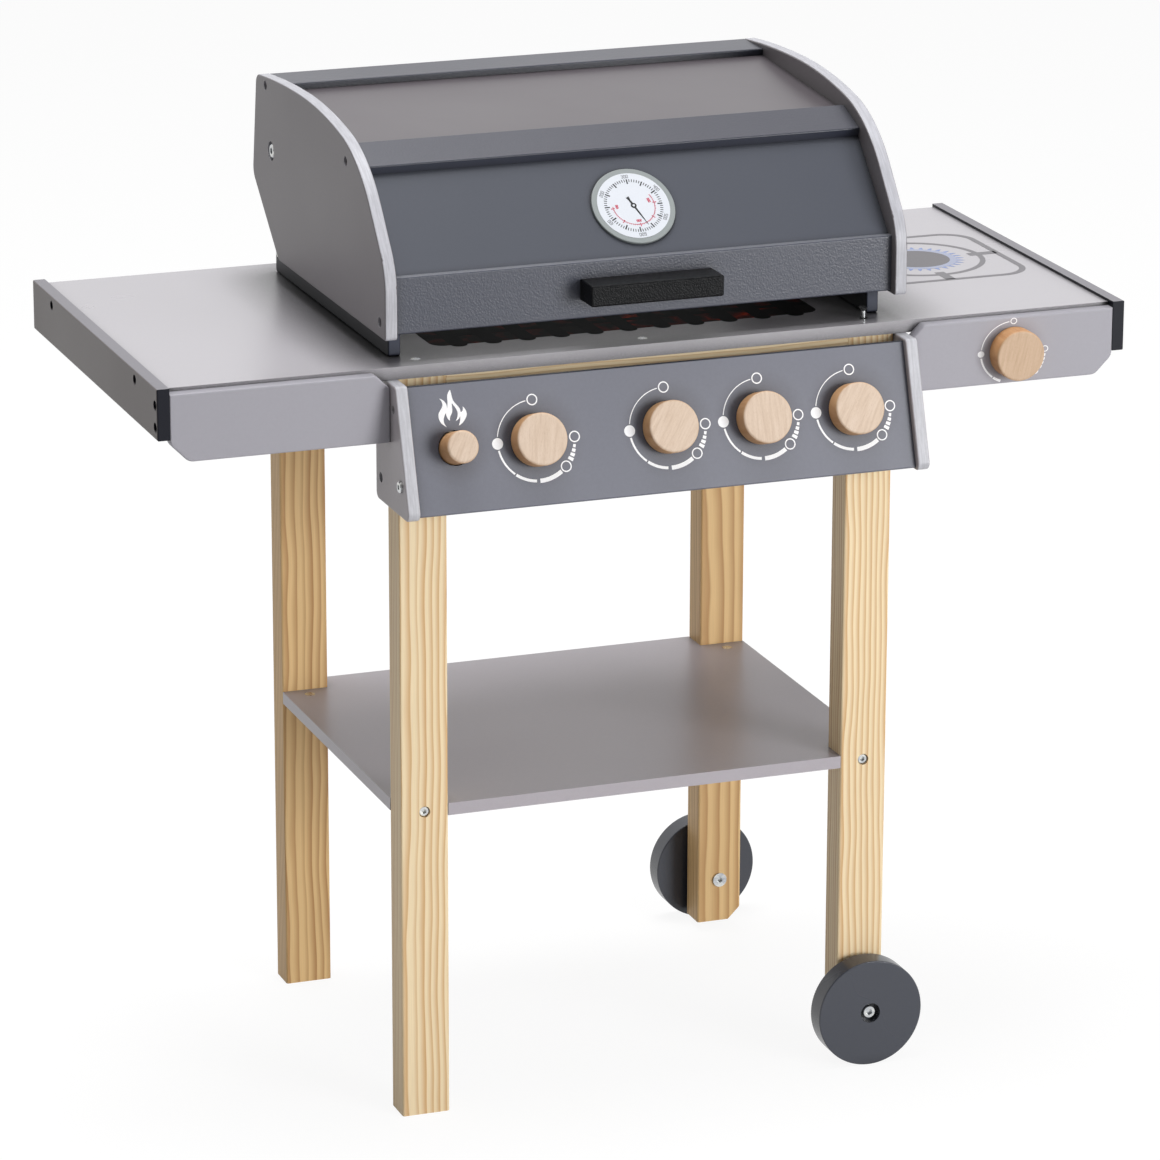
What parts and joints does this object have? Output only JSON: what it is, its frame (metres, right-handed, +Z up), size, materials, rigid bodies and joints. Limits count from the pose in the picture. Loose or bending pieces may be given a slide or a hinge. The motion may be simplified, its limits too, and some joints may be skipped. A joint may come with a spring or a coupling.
{
  "type": "toy barbecue grill",
  "caption": "Wooden toy barbecue grill trolley with a hinged lid, side wings, turning knobs, a push igniter, a low shelf and wheels on one side.",
  "frame": {"origin": "middle of the bounding box on the floor under the trolley", "axes": "+X to the right as seen from the front, the front with the knobs faces -Y, +Z up"},
  "size_m": [0.716, 0.3722, 0.703],
  "materials": {
    "white_top": "light grey satin paint on board",
    "grey_board": "mid grey satin paint on board",
    "dark_grey_panel": "dark grey satin paint on board",
    "pine": "clear lacquered pine",
    "beech": "turned beech, clear lacquer",
    "button_plastic": "black plastic",
    "black_handle": "black matt paint",
    "dark_wheel": "dark grey gloss paint",
    "dial": "printed disc, satin",
    "steel": "bright zinc plating"
  },
  "bodies": {
    "trolley": {"tabletop": "white_top", "left_end_rail": "grey_board", "right_end_rail": "grey_board", "left_apron": "grey_board", "right_apron": "grey_board", "shelf": "grey_board", "panel_cheek_left": "grey_board", "panel_cheek_right": "grey_board", "stand_side_left": "dark_grey_panel", "stand_side_right": "dark_grey_panel", "stand_back": "dark_grey_panel", "control_panel": "dark_grey_panel", "leg_front_left": "pine", "leg_front_right": "pine", "leg_rear_left": "pine", "leg_rear_right": "pine", "front_crossbar": "pine", "rear_crossbar": "pine", "panel_dowels": "pine", "igniter_cup": "button_plastic", "igniter_spring": "steel", "igniter_cup_screws": "steel", "wheel_spacers": "steel", "wheel_bolts": "steel", "wheel_cap_nuts": "steel", "hinge_bolts": "steel", "hinge_washers": "steel", "hinge_nuts": "steel", "table_screws": "steel", "rail_screws": "steel", "cheek_screws": "steel", "stand_screws": "steel", "crossbar_screws": "steel", "panel_screws": "steel", "shelf_bolts": "steel", "shelf_barrel_nuts": "steel"},
    "lid": {"lid_side_left": "dark_grey_panel", "lid_side_right": "dark_grey_panel", "lid_top_board": "dark_grey_panel", "lid_middle_board": "dark_grey_panel", "lid_front_board": "dark_grey_panel", "lid_top_skin": "dark_grey_panel", "lid_front_skin": "dark_grey_panel", "lid_handle": "black_handle", "lid_screws": "steel", "handle_screws": "steel", "thermometer_dial": "dial"},
    "igniter": {"igniter_button": "beech"},
    "wheel_front_body": {"wheel_front": "dark_wheel"},
    "wheel_rear_body": {"wheel_rear": "dark_wheel"},
    "knob_1_body": {"knob_1": "beech", "knob_1_peg": "beech"},
    "knob_2_body": {"knob_2": "beech", "knob_2_peg": "beech"},
    "knob_3_body": {"knob_3": "beech", "knob_3_peg": "beech"},
    "knob_4_body": {"knob_4": "beech", "knob_4_peg": "beech"},
    "side_knob_body": {"side_knob": "beech", "side_knob_peg": "beech"}
  },
  "joints": [
    {"name": "lid_hinge", "type": "hinge", "parent": "trolley", "child": "lid", "pos_m": [0, 0.1214, 0.6476], "axis": [-1, 0, 0], "range_deg": [0, 110]},
    {"name": "igniter_push", "type": "slide", "parent": "trolley", "child": "igniter", "axis": [0, 0.9511, -0.309], "range_m": [0, 0.005], "stiffness_N_per_m": 400, "springref_m": -0.002, "deforming": ["igniter_spring"]},
    {"name": "knob_1_turn", "type": "hinge", "parent": "trolley", "child": "knob_1_body", "pos_m": [-0.0945, -0.16595, 0.499], "axis": [0, -0.9511, 0.309], "continuous": true},
    {"name": "knob_2_turn", "type": "hinge", "parent": "trolley", "child": "knob_2_body", "pos_m": [0.002, -0.16595, 0.499], "axis": [0, -0.9511, 0.309], "continuous": true},
    {"name": "knob_3_turn", "type": "hinge", "parent": "trolley", "child": "knob_3_body", "pos_m": [0.0715, -0.16595, 0.499], "axis": [0, -0.9511, 0.309], "continuous": true},
    {"name": "knob_4_turn", "type": "hinge", "parent": "trolley", "child": "knob_4_body", "pos_m": [0.141, -0.16595, 0.499], "axis": [0, -0.9511, 0.309], "continuous": true},
    {"name": "side_knob_turn", "type": "hinge", "parent": "trolley", "child": "side_knob_body", "pos_m": [0.2715, -0.1469, 0.5243], "axis": [0, -1, 0], "continuous": true},
    {"name": "wheel_front_spin", "type": "hinge", "parent": "trolley", "child": "wheel_front_body", "pos_m": [0.1665, -0.1494, 0.04], "axis": [0, 1, 0], "continuous": true},
    {"name": "wheel_rear_spin", "type": "hinge", "parent": "trolley", "child": "wheel_rear_body", "pos_m": [0.1665, 0.1776, 0.04], "axis": [0, 1, 0], "continuous": true}
  ]
}
